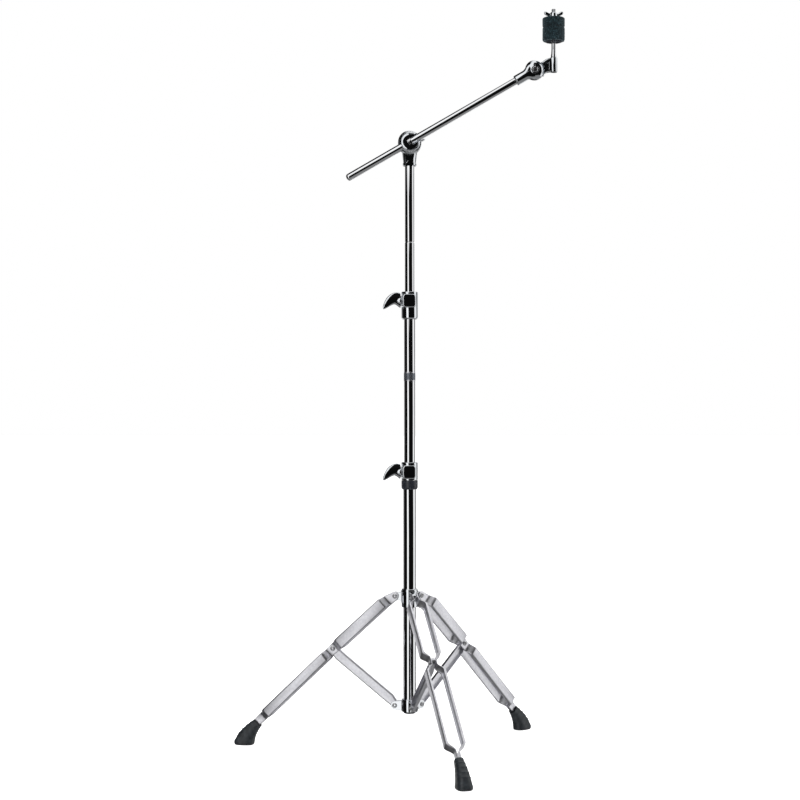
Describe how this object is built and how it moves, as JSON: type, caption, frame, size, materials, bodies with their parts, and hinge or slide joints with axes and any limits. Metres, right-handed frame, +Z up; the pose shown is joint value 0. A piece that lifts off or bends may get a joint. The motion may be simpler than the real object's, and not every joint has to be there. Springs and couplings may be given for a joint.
{
  "type": "cymbal boom stand",
  "caption": "Folding tripod stand with a telescopic column, a tilting and sliding boom arm in a toothed tilter, and a felt-padded cymbal post on a second tilter.",
  "frame": {"origin": "on the floor, under the middle of the stand's footprint box; the column stands 25.3 mm towards +X and 42.1 mm towards +Y from it", "axes": "+Z up along the column; +X the way the boom leans; -Y is the front, the side that the boom rod runs on and that one leg points to"},
  "size_m": [0.6546, 0.615, 1.4522],
  "materials": {
    "chrome": "mirror-polished chrome plate",
    "satin_chrome": "chrome plate over pressed strip, slightly satin",
    "steel": "bright nickel-plated steel",
    "black_plastic": "black moulded plastic, semi-gloss",
    "black_rubber": "black moulded rubber, ribbed",
    "black_felt": "dark pressed wool felt, mottled"
  },
  "bodies": {
    "base": {"base_tube": "chrome", "base_tube_plug": "black_plastic", "stay_collar": "chrome", "stay_1_rivet": "steel", "stay_2_rivet": "steel", "stay_3_rivet": "steel", "lower_clamp": "chrome", "lower_clamp_sleeve": "black_plastic"},
    "stay_1": {"stay_1": "satin_chrome"},
    "leg_1": {"leg_1_left_strip": "satin_chrome", "leg_1_right_strip": "satin_chrome", "leg_1_foot": "black_rubber", "leg_1_mid_rivet": "steel", "leg_1_top_rivet": "steel"},
    "stay_2": {"stay_2": "satin_chrome"},
    "leg_2": {"leg_2_left_strip": "satin_chrome", "leg_2_right_strip": "satin_chrome", "leg_2_foot": "black_rubber", "leg_2_mid_rivet": "steel", "leg_2_top_rivet": "steel"},
    "stay_3": {"stay_3": "satin_chrome"},
    "leg_3": {"leg_3_left_strip": "satin_chrome", "leg_3_right_strip": "satin_chrome", "leg_3_foot": "black_rubber", "leg_3_mid_rivet": "steel", "leg_3_top_rivet": "steel"},
    "leg_collar": {"leg_collar": "chrome"},
    "leg_collar_bolt": {"leg_collar_bolt": "chrome"},
    "lower_clamp_bolt": {"lower_clamp_bolt": "chrome"},
    "lower_bushing": {"lower_bushing": "black_plastic"},
    "middle_stage": {"middle_tube": "chrome", "upper_clamp": "chrome"},
    "upper_clamp_bolt": {"upper_clamp_bolt": "chrome"},
    "upper_bushing": {"upper_bushing": "black_plastic"},
    "upper_stage": {"upper_tube": "chrome", "boom_holder": "chrome"},
    "boom_clamp": {"boom_clamp": "chrome", "boom_eye_bolt": "steel", "boom_nut_washer": "steel"},
    "boom_wing_nut": {"boom_wing_nut": "chrome"},
    "boom": {"boom_rod": "chrome", "boom_rod_cap": "chrome", "tip_base": "chrome", "tip_screw": "steel"},
    "tip": {"tip_arm": "chrome", "cymbal_post": "chrome", "post_sleeve": "black_plastic", "lower_felt": "black_felt", "upper_felt": "black_felt"},
    "tip_wing_nut": {"tip_wing_nut": "chrome"},
    "cymbal_wing_nut": {"cymbal_wing_nut": "chrome"}
  },
  "joints": [
    {"name": "stay_1_fold", "type": "hinge", "parent": "base", "child": "stay_1", "pos_m": [0.03317, 0.01467, 0.092], "axis": [-0.9613, -0.2756, 0], "range_deg": [0, 44]},
    {"name": "leg_1_fold", "type": "hinge", "parent": "stay_1", "child": "leg_1", "pos_m": [0.06812, -0.10721, 0.199], "axis": [-0.9613, -0.2756, 0], "range_deg": [-88, 0]},
    {"name": "stay_2_fold", "type": "hinge", "parent": "base", "child": "stay_2", "pos_m": [0.04511, 0.06257, 0.092], "axis": [0.7193, -0.6947, 0], "range_deg": [0, 44]},
    {"name": "leg_2_fold", "type": "hinge", "parent": "stay_2", "child": "leg_2", "pos_m": [0.13319, 0.15378, 0.199], "axis": [0.7193, -0.6947, 0], "range_deg": [-88, 0]},
    {"name": "stay_3_fold", "type": "hinge", "parent": "base", "child": "stay_3", "pos_m": [-0.00234, 0.04897, 0.092], "axis": [0.2419, 0.9703, 0], "range_deg": [0, 44]},
    {"name": "leg_3_fold", "type": "hinge", "parent": "stay_3", "child": "leg_3", "pos_m": [-0.12538, 0.07964, 0.199], "axis": [0.2419, 0.9703, 0], "range_deg": [-88, 0]},
    {"name": "leg_collar_rise", "type": "hinge", "parent": "leg_1", "child": "leg_collar", "pos_m": [0.03317, 0.01467, 0.306], "axis": [-0.9613, -0.2756, 0], "range_deg": [0, 44]},
    {"name": "leg_collar_bolt_turn", "type": "hinge", "parent": "leg_collar", "child": "leg_collar_bolt", "pos_m": [0.02531, 0.04207, 0.303], "axis": [-0.2756, 0.9613, 0], "range_deg": [0, 360]},
    {"name": "lower_clamp_bolt_turn", "type": "hinge", "parent": "base", "child": "lower_clamp_bolt", "pos_m": [0.02531, 0.04207, 0.55], "axis": [-0.9781, -0.2079, 0], "range_deg": [0, 360]},
    {"name": "lower_swivel", "type": "hinge", "parent": "base", "child": "lower_bushing", "pos_m": [0.02531, 0.04207, 0.563], "axis": [0, 0, 1], "continuous": true},
    {"name": "lower_height", "type": "slide", "parent": "lower_bushing", "child": "middle_stage", "axis": [0, 0, 1], "range_m": [-0.27, 0.09]},
    {"name": "upper_clamp_bolt_turn", "type": "hinge", "parent": "middle_stage", "child": "upper_clamp_bolt", "pos_m": [0.02531, 0.04207, 0.885], "axis": [-0.9781, -0.2079, 0], "range_deg": [0, 360]},
    {"name": "upper_swivel", "type": "hinge", "parent": "middle_stage", "child": "upper_bushing", "pos_m": [0.02531, 0.04207, 0.897], "axis": [0, 0, 1], "continuous": true},
    {"name": "upper_height", "type": "slide", "parent": "upper_bushing", "child": "upper_stage", "axis": [0, 0, 1], "range_m": [-0.235, 0.1]},
    {"name": "boom_tilt", "type": "hinge", "parent": "upper_stage", "child": "boom_clamp", "pos_m": [0.02531, 0.01807, 1.1931], "axis": [0, -1, 0], "range_deg": [-75, 50]},
    {"name": "boom_wing_nut_turn", "type": "hinge", "parent": "boom_clamp", "child": "boom_wing_nut", "pos_m": [0.02531, 0.06807, 1.1931], "axis": [0, 1, 0], "range_deg": [0, 360]},
    {"name": "boom_reach", "type": "slide", "parent": "boom_clamp", "child": "boom", "axis": [0.866, 0, 0.5], "range_m": [-0.2, 0.1]},
    {"name": "tip_tilt", "type": "hinge", "parent": "boom", "child": "tip", "pos_m": [0.26866, 0.01807, 1.3336], "axis": [0, -1, 0], "range_deg": [-75, 90]},
    {"name": "tip_wing_nut_turn", "type": "hinge", "parent": "tip", "child": "tip_wing_nut", "pos_m": [0.26866, 0.03007, 1.3336], "axis": [0, 1, 0], "range_deg": [0, 360]},
    {"name": "cymbal_wing_nut_turn", "type": "hinge", "parent": "tip", "child": "cymbal_wing_nut", "pos_m": [0.30566, 0.01807, 1.4363], "axis": [0, 0, 1], "range_deg": [0, 360]}
  ],
  "couplings": [
    {"joint": "stay_2_fold", "follows": "stay_1_fold", "ratio": 1},
    {"joint": "stay_3_fold", "follows": "stay_1_fold", "ratio": 1},
    {"joint": "leg_1_fold", "follows": "stay_1_fold", "ratio": -2},
    {"joint": "leg_2_fold", "follows": "stay_1_fold", "ratio": -2},
    {"joint": "leg_3_fold", "follows": "stay_1_fold", "ratio": -2},
    {"joint": "leg_collar_rise", "follows": "stay_1_fold", "ratio": 1}
  ]
}
